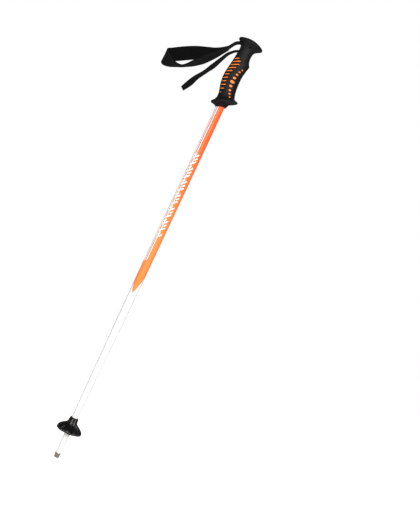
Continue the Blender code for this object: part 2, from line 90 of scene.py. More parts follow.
def addNode(tree, kind, settings=None):
    # a setting goes to the socket of that name or number, or else to the node itself, and a
    # socket as its value is linked
    node = tree.nodes.new(kind)
    for name, value in (settings or {}).items():
        if isinstance(value, bpy.types.NodeSocket):
            tree.links.new(value, node.inputs[name])
        elif isinstance(name, int) or name in node.inputs:
            node.inputs[name].default_value = value
        else:
            setattr(node, name, value)
    return node


def newFinish(name, values):
    finish = bpy.data.materials.new(name)
    finish.use_nodes = True
    shader = finish.node_tree.nodes["Principled BSDF"]
    for socket, value in values.items():
        shader.inputs[socket].default_value = value
    return finish, finish.node_tree, shader


def layered(tree, base, *layers):
    # colours laid over a base, each with where it shows: a colour is hex text or a socket
    for top, where in layers:
        base, top = (hexColour(c) if isinstance(c, str) else c for c in (base, top))
        base = addNode(tree, "ShaderNodeMix", {
            "data_type": "RGBA", 0: where, 6: base, 7: top}).outputs[2]
    return base


def setSurface(tree, shader, colour, gloss, rough, relief, strength, depth):
    # roughness runs between two values with gloss, and relief stands up to depth mm
    tree.links.new(colour, shader.inputs["Base Color"])
    sheen = addNode(tree, "ShaderNodeMapRange", {"To Min": rough[0], "To Max": rough[1], "Value": gloss})
    tree.links.new(sheen.outputs["Result"], shader.inputs["Roughness"])
    bump = addNode(tree, "ShaderNodeBump", {
        "Strength": strength, "Distance": depth * mm, "Height": relief})
    tree.links.new(bump.outputs["Normal"], shader.inputs["Normal"])


def bridge(rings, closed=False, strips=False):
    # faces through rings of equal count: closed joins the last ring to the first, open gets ends,
    # each one flat face or, with strips, a strip of faces that follows a curved outline
    count, rows = len(rings[0]), len(rings)
    verts = [point for ring in rings for point in ring]
    faces = []
    for start in () if closed else (0, len(verts) - count):
        ring = [start + i for i in range(count)]
        if strips:
            pairs = [(ring[i], ring[-i]) for i in range(count // 2 + 1)]
            faces += [tuple(dict.fromkeys((a, c, d, b))) for (a, b), (c, d) in zip(pairs, pairs[1:])]
        else:
            faces.append(tuple(ring))
    for row in range(rows if closed else rows - 1):
        here, there = row * count, (row + 1) % rows * count
        for i in range(count):
            j = (i + 1) % count
            faces.append((here + i, here + j, there + j, there + i))
    return verts, faces


def together(solids):
    verts, faces = [], []
    for solidVerts, solidFaces in solids:
        base = len(verts)
        verts += solidVerts
        faces += [tuple(base + i for i in face) for face in solidFaces]
    return verts, faces


def makePiece(name, solid, finish=None, crease=38):
    mesh = bpy.data.meshes.new(name)
    mesh.from_pydata([Vector(v) * mm for v in solid[0]], [], solid[1])
    work = bmesh.new()
    work.from_mesh(mesh)
    bmesh.ops.recalc_face_normals(work, faces=work.faces)
    work.to_mesh(mesh)
    work.free()
    piece = bpy.data.objects.new(name, mesh)
    scene.collection.objects.link(piece)
    if finish:
        mesh.materials.append(finish)
    softenMesh(mesh, crease)
    return piece


def softenMesh(mesh, crease):
    mesh.shade_smooth()
    mesh.set_sharp_from_angle(angle=math.radians(crease))


def carve(piece, solid, operation="DIFFERENCE", crease=38):
    tool = makePiece("tool", solid)
    modifier = piece.modifiers.new("carve", "BOOLEAN")
    modifier.object = tool
    modifier.operation = operation
    modifier.solver = "EXACT"
    graph = bpy.context.evaluated_depsgraph_get()
    mesh = bpy.data.meshes.new_from_object(piece.evaluated_get(graph))
    piece.modifiers.clear()
    piece.data = mesh
    bpy.data.objects.remove(tool)
    softenMesh(mesh, crease)


def splinePoint(a, b, c, d, t):
    return tuple(0.5 * (2 * q + (r - p) * t + (2 * p - 5 * q + 4 * r - s) * t * t
                        + (3 * q - p - 3 * r + s) * t ** 3) for p, q, r, s in zip(a, b, c, d))


def smoothRows(rows, between):
    # rows of numbers on a smooth curve through the given rows
    padded = [rows[0]] + list(rows) + [rows[-1]]
    result = []
    for i in range(len(rows) - 1):
        for step in range(between):
            result.append(splinePoint(*padded[i:i + 4], step / between))
    return result + [tuple(rows[-1])]


def circle(radius, z, steps):
    turns = [2 * math.pi * i / steps for i in range(steps)]
    return [Vector((radius * math.cos(t), radius * math.sin(t), z)) for t in turns]


def sideCircle(x, z, radius, y, steps):
    turns = [2 * math.pi * i / steps for i in range(steps)]
    return [Vector((x + radius * math.cos(t), y, z + radius * math.sin(t))) for t in turns]


def prism(outline, halfWidth, round_=0.0):
    # an (x, z) outline drawn out along Y, its long edges rounded by that much
    centre = sum((Vector(p) for p in outline), Vector((0, 0))) / len(outline)
    size = max((Vector(p) - centre).length for p in outline)
    rings = []
    for y, inset in ((-halfWidth, round_), (-halfWidth + round_ * 0.3, round_ * 0.3),
                     (-halfWidth + round_, 0.0), (halfWidth - round_, 0.0),
                     (halfWidth - round_ * 0.3, round_ * 0.3), (halfWidth, round_)):
        points = [centre + (Vector(p) - centre) * (1 - inset / size) for p in outline]
        rings.append([Vector((p.x, y, p.y)) for p in points])
    return bridge(rings if round_ else [rings[0], rings[-1]])


# finishes

def mouldedElastomer():
    # thermoplastic elastomer, injection moulded against a spark-eroded tool: black with a dry,
    # softly broken sheen, and a little paler where hands and snow rub its edges
    finish, tree, shader = newFinish("mouldedElastomer", {"IOR": 1.47, "Specular IOR Level": 0.09})
    where = addNode(tree, "ShaderNodeTexCoord").outputs["Object"]
    grainSize = 0.9 * mm      # the real stipple is 0.3 mm, drawn coarser so that it shows
    patchSize = 24 * mm
    grain = addNode(tree, "ShaderNodeTexNoise", {"Scale": 1 / grainSize, "Detail": 3.0, "Vector": where})
    patches = addNode(tree, "ShaderNodeTexNoise", {
        "Scale": 1 / patchSize, "Detail": 4.0, "Vector": where}).outputs["Fac"]
    pointiness = addNode(tree, "ShaderNodeNewGeometry").outputs["Pointiness"]
    edges = addNode(tree, "ShaderNodeMapRange", {
        "From Min": 0.52, "From Max": 0.60, "Value": pointiness})
    colour = layered(tree, "#0b0b0c", ("#161617", patches), ("#262627", edges.outputs["Result"]))
    setSurface(tree, shader, colour, patches, (0.46, 0.66), grain.outputs["Fac"], 0.35, 0.12)
    return finish


def mouldedPolypropylene(name, dark, light, rough):
    # injection-moulded polypropylene: a deep black with a waxy gloss, faint orange peel and the
    #     # fine scuffs of snow and stones; where the rub attribute is set, a chalky pale grey that is
    #     # wear and a painted highlight together
    finish, tree, shader = newFinish(name, {"IOR": 1.49, "Specular IOR Level": 0.12})
    where = addNode(tree, "ShaderNodeTexCoord").outputs["Object"]
    peelSize, scuffSize = 1.6 * mm, 5 * mm
    peel = addNode(tree, "ShaderNodeTexNoise", {"Scale": 1 / peelSize, "Detail": 2.0, "Vector": where})
    stretch = addNode(tree, "ShaderNodeMapping", {"Scale": (1.0, 1.0, 0.18), "Vector": where})
    scuffs = addNode(tree, "ShaderNodeTexNoise", {
        "Scale": 1 / scuffSize, "Detail": 6.0, "Roughness": 0.75,
        "Vector": stretch.outputs["Vector"]}).outputs["Fac"]
    worn = addNode(tree, "ShaderNodeMapRange", {
        "From Min": 0.50, "From Max": 0.72, "Value": scuffs}).outputs["Result"]
    # rub says how pale each point is painted: wear on the basket's ribs and rim, laid only on the lamp's
    # side, so also a painted highlight
    rub = addNode(tree, "ShaderNodeAttribute", {"attribute_name": "rub"}).outputs["Fac"]
    wornAndLit = addNode(tree, "ShaderNodeMath", {"operation": "MULTIPLY", 0: rub, 1: scuffs}).outputs[0]
    chalkAndHighlight = addNode(tree, "ShaderNodeMapRange", {
        "From Min": 0.25, "From Max": 0.6, "To Max": 0.9, "Value": wornAndLit}).outputs["Result"]
    colour = layered(tree, dark, (light, worn), ("#87837f", chalkAndHighlight))
    setSurface(tree, shader, colour, worn, (rough, rough + 0.22), peel.outputs["Fac"], 0.25, 0.08)
    return finish


def colouredPolypropylene():
    # pigmented polypropylene of the grip's hard core: an even orange, satin, a shade deeper in
    # the moulding's low spots
    finish, tree, shader = newFinish("orangePolypropylene", {"IOR": 1.49, "Specular IOR Level": 0.2})
    where = addNode(tree, "ShaderNodeTexCoord").outputs["Object"]
    swirlSize, peelSize = 7 * mm, 0.8 * mm
    swirl = addNode(tree, "ShaderNodeTexNoise", {
        "Scale": 1 / swirlSize, "Detail": 3.0, "Vector": where}).outputs["Fac"]
    peel = addNode(tree, "ShaderNodeTexNoise", {"Scale": 1 / peelSize, "Detail": 2.0, "Vector": where})
    colour = layered(tree, "#bf5c18", ("#da7522", swirl))
    setSurface(tree, shader, colour, swirl, (0.34, 0.5), peel.outputs["Fac"], 0.2, 0.06)
    return finish


def wovenNylon(name, dark, light, pitch, depth):
    # woven nylon webbing or lining: thread crowns catch a dull light over dark gaps, and loose
    # fibres give it a soft edge sheen
    finish, tree, shader = newFinish(name, {
        "IOR": 1.53, "Specular IOR Level": 0.045, "Sheen Weight": 0.02, "Sheen Roughness": 0.6})
    place = addNode(tree, "ShaderNodeAttribute", {"attribute_name": "strapCoord"}).outputs["Vector"]
    split = addNode(tree, "ShaderNodeSeparateXYZ", {"Vector": place})
    fuzzSize = 3 * mm
    waves = []
    for axis, step in (("X", pitch * mm), ("Y", pitch * 1.25 * mm)):     # picks lie closer than ends
        turn = addNode(tree, "ShaderNodeMath", {
            "operation": "MULTIPLY", 0: split.outputs[axis], 1: 2 * math.pi / step}).outputs[0]
        waves.append(addNode(tree, "ShaderNodeMath", {"operation": "SINE", 0: turn}).outputs[0])
    crossed = addNode(tree, "ShaderNodeMath", {"operation": "MULTIPLY", 0: waves[0], 1: waves[1]})
    weave = addNode(tree, "ShaderNodeMath", {
        "operation": "MULTIPLY_ADD", 0: crossed.outputs[0], 1: 0.5, 2: 0.5}).outputs[0]
    fuzz = addNode(tree, "ShaderNodeTexNoise", {
        "Scale": 1 / fuzzSize, "Detail": 5.0, "Vector": place}).outputs["Fac"]
    lit = addNode(tree, "ShaderNodeMath", {"operation": "MULTIPLY", 0: weave, 1: fuzz}).outputs[0]
    setSurface(tree, shader, layered(tree, dark, (light, lit)), fuzz, (0.72, 0.95), weave, 0.6, depth)
    return finish


def turnedSteel(name, bright, brownish, rough):
    # hardened steel off the lathe: bright rings along the cut, browned a little by salt and grit,
    # or blued nearly black where it sits inside the grip
    finish, tree, shader = newFinish(name, {"Metallic": 1.0})
    where = addNode(tree, "ShaderNodeTexCoord").outputs["Object"]
    ringPitch, grimeSize = 1.6 * mm, 2.5 * mm
    rings = addNode(tree, "ShaderNodeTexWave", {
        "wave_type": "BANDS", "bands_direction": "Z", "Scale": 1 / ringPitch / 6.28,
        "Distortion": 0.6, "Vector": where})
    grime = addNode(tree, "ShaderNodeTexNoise", {
        "Scale": 1 / grimeSize, "Detail": 5.0, "Vector": where}).outputs["Fac"]
    brown = addNode(tree, "ShaderNodeMapRange", {"From Min": 0.45, "From Max": 0.7, "Value": grime})
    colour = layered(tree, bright, (brownish, brown.outputs["Result"]))
    setSurface(tree, shader, colour, grime, (rough, rough + 0.2), rings.outputs["Fac"], 0.4, 0.05)
    return finish


def mouldedNylon():
    # white glass-filled nylon: bright and slightly cool, faintly mottled, with a soft gloss
    finish, tree, shader = newFinish("whiteNylon", {"IOR": 1.53})
    where = addNode(tree, "ShaderNodeTexCoord").outputs["Object"]
    mottleSize, fibreSize = 6 * mm, 0.9 * mm
    mottle = addNode(tree, "ShaderNodeTexNoise", {
        "Scale": 1 / mottleSize, "Detail": 4.0, "Vector": where}).outputs["Fac"]
    fibres = addNode(tree, "ShaderNodeTexNoise", {
        "Scale": 1 / fibreSize, "Detail": 2.0, "Vector": where})
    colour = layered(tree, "#cbcccd", ("#d6d6d5", mottle))
    setSurface(tree, shader, colour, mottle, (0.28, 0.46), fibres.outputs["Fac"], 0.15, 0.05)
    return finish


printing = {
    "orange": "#ff562a", "orangeWarm": "#ff7840", "white": "#d1d2d3",
    "deepAbove": 720.0, "warmBelow": 470.0,      # the orange fades from one shade to the other
    "silver": "#d4d5d6",
    "frontEdge": -2.5,       # x of each edge of the stripes, seen from the side
    "whiteLine": -4.2,
    "pinstripe": -6.1,
    "stripeEnd": 444.0,      # where the stripes end, at their middle
    "tongueSlope": 1.6,      # how much higher they end per mm to either side
    "spearTop": 412.0,       # the orange narrows from here to a point
    "spearPoint": 374.0,
    "spearX": -1.0, "spearHalf": 10.2, "spearPower": 0.72,
    "marksFrom": 500.0, "marksTo": 690.0, "markStep": 15.0, "markSlant": 0.9,
    "markX": -1.1, "markHalf": 4.7,
    "longMark": (0.12, 0.35), "shortMark": (0.58, 0.80),     # shares of a step
}


def lacqueredTube():
    # aluminium tube, sprayed white, printed orange and sealed under clear lacquer: a wet, even
    # gloss over the print, with the faintest ripple of the spray
    finish, tree, shader = newFinish("lacqueredTube", {
        "IOR": 1.5, "Specular IOR Level": 0.05, "Coat Weight": 0.05, "Coat IOR": 1.5,
        "Coat Roughness": 0.14})
    where = addNode(tree, "ShaderNodeTexCoord").outputs["Object"]
    split = addNode(tree, "ShaderNodeSeparateXYZ", {"Vector": where})
    x, z = split.outputs["X"], split.outputs["Z"]
    rippleSize = 9 * mm

    def maths(operation, *values):
        settings = {"operation": operation, **dict(enumerate(values))}
        return addNode(tree, "ShaderNodeMath", settings).outputs[0]

    def between(value, low, high):
        return maths("MULTIPLY", maths("GREATER_THAN", value, low), maths("LESS_THAN", value, high))

    # stripes by x, on both sides alike
    front = maths("GREATER_THAN", x, printing["frontEdge"] * mm)
    pinstripe = between(x, printing["pinstripe"] * mm, printing["whiteLine"] * mm)
    # their lower end is a pointed tongue about the middle of the stripes
    tongue = maths("MULTIPLY", maths("ABSOLUTE", maths("SUBTRACT", x, printing["pinstripe"] * mm)),
                   printing["tongueSlope"])
    below = maths("LESS_THAN", maths("SUBTRACT", z, tongue), printing["stripeEnd"] * mm)
    body = maths("MAXIMUM", maths("MAXIMUM", front, pinstripe), below)
    # the spearhead: orange where |x - spearX| is less than a width that shrinks to the point
    height = maths("DIVIDE", maths("SUBTRACT", z, printing["spearPoint"] * mm),
                   (printing["spearTop"] - printing["spearPoint"]) * mm)
    width = maths("MULTIPLY", maths("POWER", maths("MAXIMUM", height, 0.0), printing["spearPower"]),
                  printing["spearHalf"] * mm)
    spear = maths("LESS_THAN", maths("ABSOLUTE", maths("SUBTRACT", x, printing["spearX"] * mm)), width)
    # abstract marks: slanted dashes, a long one and then a short one on alternate sides
    across = maths("SUBTRACT", x, printing["markX"] * mm)
    slant = maths("SUBTRACT", z, maths("MULTIPLY", across, printing["markSlant"]))
    cell = maths("DIVIDE", maths("SUBTRACT", slant, printing["marksFrom"] * mm),
                 printing["markStep"] * mm)
    share = maths("FRACT", cell)
    turn = maths("SIGN", maths("SUBTRACT", maths("FRACT", maths("MULTIPLY", cell, 0.5)), 0.5))
    short = maths("MULTIPLY", between(share, *printing["shortMark"]),
                  maths("GREATER_THAN", maths("MULTIPLY", across, turn), 0.0))
    mark = maths("MAXIMUM", between(share, *printing["longMark"]), short)
    rows = maths("MULTIPLY", between(z, printing["marksFrom"] * mm, printing["marksTo"] * mm),
                 maths("LESS_THAN", maths("ABSOLUTE", across), printing["markHalf"] * mm))
    orange = maths("MULTIPLY", maths("MULTIPLY", body, spear),
                   maths("SUBTRACT", 1.0, maths("MULTIPLY", mark, rows)))
    back = maths("MULTIPLY", maths("LESS_THAN", x, printing["pinstripe"] * mm),
                 maths("SUBTRACT", 1.0, below))

    ripple = addNode(tree, "ShaderNodeTexNoise", {
        "Scale": 1 / rippleSize, "Detail": 3.0, "Vector": where}).outputs["Fac"]
    fade = addNode(tree, "ShaderNodeMapRange", {
        "From Min": printing["deepAbove"] * mm, "Value": z, "From Max": printing["warmBelow"] * mm})
    warm = layered(tree, printing["orange"], (printing["orangeWarm"], fade.outputs["Result"]))
    colour = layered(tree, printing["white"], (printing["silver"], back), (warm, orange))
    setSurface(tree, shader, colour, ripple, (0.2, 0.34), ripple, 0.12, 0.05)
    return finish


elastomer = mouldedElastomer()
capPlastic = mouldedPolypropylene("capPolypropylene", "#0b0b0c", "#151516", 0.56)
basketPlastic = mouldedPolypropylene("basketPolypropylene", "#0a0a0b", "#19191a", 0.36)
inlayPlastic = colouredPolypropylene()
# threads are 1.1 mm, drawn coarser so that they show
webbing = wovenNylon("nylonWebbing", "#020202", "#0e0e0d", 2.2, 0.30)
liningKnit = wovenNylon("liningKnit", "#020202", "#080808", 1.4, 0.12)
thread = wovenNylon("sewingThread", "#1b1b1b", "#3a3a3a", 0.8, 0.1)
steel = turnedSteel("turnedSteel", "#a59d96", "#3a281f", 0.2)
bluedSteel = turnedSteel("bluedSteel", "#1d1a1b", "#3a1d17", 0.5)
nylon = mouldedNylon()
lacquer = lacqueredTube()
print("finishes ready")


# grip: skin, core and inlays

grip = {
    "power": 2.25,           # superellipse power of its sections
    "around": 96, "coreAround": 64, "between": 4,
    # bottom to top: front x, z, back x, z, half depth along Y
    "stations": [
        (10.9, 799.8, -9.2, 794.1, 10.9), (13.4, 805.6, -11.9, 796.2, 12.8),
        (16.5, 810.6, -14.8, 797.4, 15.6), (27.6, 817.0, -21.9, 799.0, 22.2),
        (29.2, 818.6, -22.9, 800.4, 23.0), (28.9, 820.0, -22.5, 802.2, 22.7),
        (25.4, 821.1, -19.9, 804.8, 19.6), (21.6, 823.0, -17.4, 809.0, 16.8),
        (19.4, 826.4, -15.8, 813.6, 14.8), (17.9, 831.0, -15.5, 819.0, 13.8),
        (16.6, 836.4, -16.2, 825.2, 13.6), (15.7, 842.6, -18.1, 832.2, 13.9),
        (15.1, 849.4, -20.2, 840.2, 14.3), (14.8, 856.6, -21.7, 848.8, 14.6),
        (14.6, 864.2, -22.4, 857.6, 14.7), (15.1, 871.8, -22.2, 866.4, 14.6),
        (16.0, 879.0, -21.2, 874.8, 14.3), (17.5, 886.6, -19.9, 883.0, 13.9),
        (19.2, 893.6, -18.7, 891.2, 13.6), (19.8, 896.6, -18.1, 894.8, 13.4),
        (18.3, 899.6, -17.6, 898.6, 13.2), (16.2, 903.4, -17.0, 903.0, 13.0),
        (14.7, 909.0, -16.3, 909.6, 12.9), (14.3, 915.4, -15.6, 916.6, 12.9),
        (14.8, 921.2, -15.2, 923.2, 13.1), (16.2, 925.6, -15.4, 928.2, 13.8),
        (18.9, 929.2, -16.5, 932.4, 15.2), (23.0, 932.1, -18.9, 936.1, 17.6),
        (28.1, 934.8, -22.9, 939.4, 20.3)],
    "coreStations": slice(9, 23), "coreInset": (3.0, 2.2), "gap": 0.3,
    "coreFoot": (12.0, 806.0, -12.0, 804.0, 11.4),
    "boreRadius": 9.3, "boreBottom": 780.0, "boreTop": 905.3, "skinBoreTop": 830.0,
    "cavity": [(-11.3, 915.5), (10.3, 915.5), (10.3, 942.0), (-11.3, 942.0)], "cavityHalf": 8.0,
    "loopSlotHalf": 8.0 + 0.1, "loopSlotRound": 1.2, "tailSlotHalf": 8.0 + 0.2, "tailSlotRound": 0.8,
    "loopSlot": [(-10.0, 932.3), (-14.5, 931.9), (-17.5, 930.4), (-26.0, 924.0), (-26.0, 943.0),
                 (-10.0, 943.0)],
    "tailSlot": [(-10.0, 917.0), (-12.6, 916.6), (-18.0, 911.0), (-18.0, 920.9), (-10.0, 920.6)],
    "pin": (5.2, 930.5), "pinRadius": 1.4, "pinHalf": 11.4,
    # share of the pin's half length, share of its radius; then the countersink's floor, rim and end
    "pinEnd": [(1.0, 0.35), (0.985, 0.75), (0.96, 1.0)],
    "sinkRadius": 2.5, "sinkY": (12.6, 15.2, 30.0),
    "rayFrom": 60.0,         # outside the grip on either side
}

inlays = {
    "arcCentre": (60.3, 852.3), "arcRadius": 59.0,      # the dots lie on an arc
    # distance along the arc's height from its middle, width, height
    "dots": [(0.0, 9.9, 6.1), (9.0, 7.1, 4.8), (17.5, 5.6, 3.6), (24.4, 5.1, 3.2), (30.4, 3.3, 3.0)],
    "barFronts": [-6.4, -1.3, -0.7, -4.2, -8.2, -11.0, -11.0, -11.0, -8.7, -8.9, -11.3],
    "barTop": 899.3, "barStep": 7.5, "barWidth": 1.9, "barBackInset": 2.2,
    "barSlopes": (0.45, 0.33),
    "dotPoints": 36, "barEndPoints": 10, "barSidePoints": 9,
    "gap": 0.22,             # dark line between an inlay and the skin
    "rise": 0.45,            # how far a dot's crown stands over the skin
    "fullRise": 3.0,         # the half size from which a crown stands that far
    "barLeast": 0.5,
    # height over the skin, growth of the outline: a window's wall is straight below and opens to a
    # small rounded lip, and a pillar has straight sides and a small radius under its crown
    "window": [(-3.4, 0.0), (-0.5, 0.0), (-0.2, 0.06), (-0.05, 0.16), (0.1, 0.34), (0.9, 0.6)],
    "pillar": [(-3.8, 0.0), (-0.2, 0.0), (0.0, -0.05), (0.1, -0.18), (0.17, -0.4)],
    "crownSteps": 5, "crownSpan": 0.9,
}


def gripRing(row, inset=(0.0, 0.0), count=grip["around"]):
    front, back = Vector((row[0], 0, row[1])), Vector((row[2], 0, row[3]))
    centre, half = (front + back) / 2, (front - back) / 2
    half = half * (half.length - inset[0]) / half.length
    across = Vector((0, row[4] - inset[1], 0))
    ring = []
    for i in range(count):
        c, s = math.cos(2 * math.pi * i / count), math.sin(2 * math.pi * i / count)
        u = math.copysign(abs(c) ** (2 / grip["power"]), c)
        v = math.copysign(abs(s) ** (2 / grip["power"]), s)
        ring.append(centre + half * u + across * v)
    return ring


gripRows = smoothRows(grip["stations"], grip["between"])
gripForm = bridge([gripRing(row) for row in gripRows])
gripTree = BVHTree.FromPolygons([Vector(v) for v in gripForm[0]], gripForm[1])


def onGrip(x, z, height, side=-1):
    # the point that stands so high over the grip's surface, seen from the side at x, z
    hit, normal, _, _ = gripTree.ray_cast(Vector((x, side * grip["rayFrom"], z)), Vector((0, -side, 0)))
    if hit is None:
        hit, normal, _, _ = gripTree.find_nearest(Vector((x, side * 3, z)))
    if normal.dot(Vector((hit.x + 1.0, hit.y, 0))) < 0:      # it points at the grip's middle line
        normal = -normal
    return hit + normal * height


def coreForm(clearance):
    inset = tuple(depth - clearance for depth in grip["coreInset"])
    first, last = grip["coreStations"].start, grip["coreStations"].stop - 1
    foot = list(grip["coreFoot"])
    for i, sign in enumerate((1, -1, -1, -1, 1)):
        foot[i] += sign * clearance
    rows = gripRows[first * grip["between"]:last * grip["between"] + 1]
    rings = [gripRing(foot, count=grip["coreAround"])]
    rings += [gripRing(row, inset, grip["coreAround"]) for row in rows]
    rings[-1] = [point + Vector((0, 0, clearance)) for point in rings[-1]]
    return bridge(rings)


def dotOutline(offset, width, height):
    x = inlays["arcCentre"][0] - math.sqrt(inlays["arcRadius"] ** 2 - offset ** 2)
    turns = [2 * math.pi * i / inlays["dotPoints"] for i in range(inlays["dotPoints"])]

    def outline(grow):
        return [(x + (width / 2 + grow) * math.cos(t),
                 inlays["arcCentre"][1] + offset + (height / 2 + grow) * math.sin(t)) for t in turns]
    return outline, min(width, height) / 2


def backEdge(z):
    backs = [(row[2], row[3]) for row in gripRows]
    for (x0, z0), (x1, z1) in zip(backs, backs[1:]):
        if z0 <= z <= z1:
            return x0 + (x1 - x0) * (z - z0) / (z1 - z0)


def barOutline(index):
    share = index / (len(inlays["barFronts"]) - 1)
    slope = inlays["barSlopes"][0] * (1 - share) + inlays["barSlopes"][1] * share
    tilt, radius = math.atan(slope), inlays["barWidth"] / 2
    backZ = inlays["barTop"] - inlays["barStep"] * index
    backX = backEdge(backZ) + inlays["barBackInset"] + radius
    frontX = max(inlays["barFronts"][index] - radius, backX + inlays["barLeast"])
    front, back = Vector((frontX, backZ + (frontX - backX) * slope)), Vector((backX, backZ))
    half, sides = inlays["barEndPoints"] // 2, inlays["barSidePoints"]
    # from the front end's tip round both ends: which end, and the turn from the bar's direction
    stops = [(front, i / half * 0.5) for i in range(half)]
    stops += [(front.lerp(back, i / sides), 0.5) for i in range(sides)]
    stops += [(back, 0.5 + i / half * 0.5) for i in range(2 * half)]
    stops += [(back.lerp(front, i / sides), 1.5) for i in range(sides)]
    stops += [(front, 1.5 + i / half * 0.5) for i in range(half)]

    def outline(grow):
        return [(centre.x + (radius + grow) * math.cos(tilt + turn * math.pi),
                 centre.y + (radius + grow) * math.sin(tilt + turn * math.pi))
                for centre, turn in stops]
    return outline, radius


def inlayOutlines():
    found = [dotOutline(side * offset, width, height) for offset, width, height in inlays["dots"]
             for side in ((1, -1) if offset else (1,))]
    return found + [barOutline(index) for index in range(len(inlays["barFronts"]))]


def windowCutters():
    solids = []
    for outline, _ in inlayOutlines():
        for side in (-1, 1):
            rings = [[onGrip(x, z, height, side) for x, z in outline(inlays["gap"] + grow)]
                     for height, grow in inlays["window"]]
            solids.append(bridge(rings, strips=True))
    return together(solids)


def inlayPillars():
    solids = []
    low, edge = inlays["pillar"][-1]
    for outline, minor in inlayOutlines():
        steps, size = list(inlays["pillar"]), min(minor / inlays["fullRise"], 1)
        for i in range(1, inlays["crownSteps"] + 1):
            share = i / inlays["crownSteps"]
            steps.append((low + (inlays["rise"] - low) * (1 - (1 - share) ** 2) * size,
                          edge - (minor + edge) * inlays["crownSpan"] * share))
        for side in (-1, 1):
            rings = [[onGrip(x, z, height, side) for x, z in outline(grow)] for height, grow in steps]
            solids.append(bridge(rings, strips=True))
    return together(solids)


def boreSolid(top):
    return bridge([circle(grip["boreRadius"], z, grip["coreAround"]) for z in (grip["boreBottom"], top)])


def pinHole():
    # countersunk at both ends
    radius = grip["pinRadius"] + grip["gap"]
    sink, (floor, rim, beyond) = grip["sinkRadius"], grip["sinkY"]
    ends = [(beyond, sink), (rim, sink), (floor, radius)]
    return bridge([sideCircle(*grip["pin"], r, y, 28)
                   for y, r in [(-y, r) for y, r in ends] + ends[::-1]])


def makeGrip():
    core = makePiece("gripCore", coreForm(0.0), inlayPlastic)
    carve(core, inlayPillars(), "UNION")
    carve(core, boreSolid(grip["boreTop"]))
    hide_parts("grip_core")
    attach(core, "root")
    skin = makePiece("gripSkin", gripForm, elastomer)
    for solid in (coreForm(grip["gap"]), windowCutters(), boreSolid(grip["skinBoreTop"]),
                  prism(grip["cavity"], grip["cavityHalf"]),
                  prism(grip["loopSlot"], grip["loopSlotHalf"], grip["loopSlotRound"]),
                  prism(grip["tailSlot"], grip["tailSlotHalf"], grip["tailSlotRound"]), pinHole()):
        carve(skin, solid)
    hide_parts("grip_shell")
    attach(skin, "root")


makeGrip()
print("grip skin, core and inlays made")


# head: cap and cross pin

cap = {
    # rim to crown: front x, z, back x, z, half depth along Y
    "stations": [
        (27.4, 935.3, -22.3, 939.8, 19.6), (28.3, 935.4, -23.2, 940.0, 20.4),
        (29.5, 936.6, -24.6, 941.4, 21.2), (29.8, 937.6, -24.9, 942.5, 21.4),
        (29.2, 939.3, -24.4, 944.3, 21.0), (26.0, 941.7, -21.3, 946.1, 18.8),
        (20.2, 944.8, -16.5, 947.7, 15.0), (13.0, 947.5, -11.0, 949.0, 10.4),
        (6.0, 949.3, -5.5, 949.8, 5.2), (1.2, 949.95, -1.2, 950.0, 1.2)],
    "plug": [(-0.5, 935.5), (9.5, 935.5), (9.5, 941.0), (-0.5, 941.0)],
}


def makeHead():
    rows = smoothRows(cap["stations"], grip["between"])
    dome = makePiece("topCap", bridge([gripRing(row) for row in rows]), capPlastic)
    carve(dome, prism(cap["plug"], grip["cavityHalf"] - grip["gap"]), "UNION")
    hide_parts("top_cap")
    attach(dome, "root")
    ends = [(y * grip["pinHalf"], share * grip["pinRadius"]) for y, share in grip["pinEnd"]]
    pin = makePiece("crossPin", bridge([sideCircle(*grip["pin"], radius, y, 32) for y, radius in
                                        [(-y, r) for y, r in ends] + ends[::-1]]), bluedSteel)
    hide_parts("strap_pin")
    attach(pin, "root")
    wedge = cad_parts["strap_wedge"]
    wedge.data.materials.clear()
    wedge.data.materials.append(capPlastic)


makeHead()
print("cap and pin made")


# strap

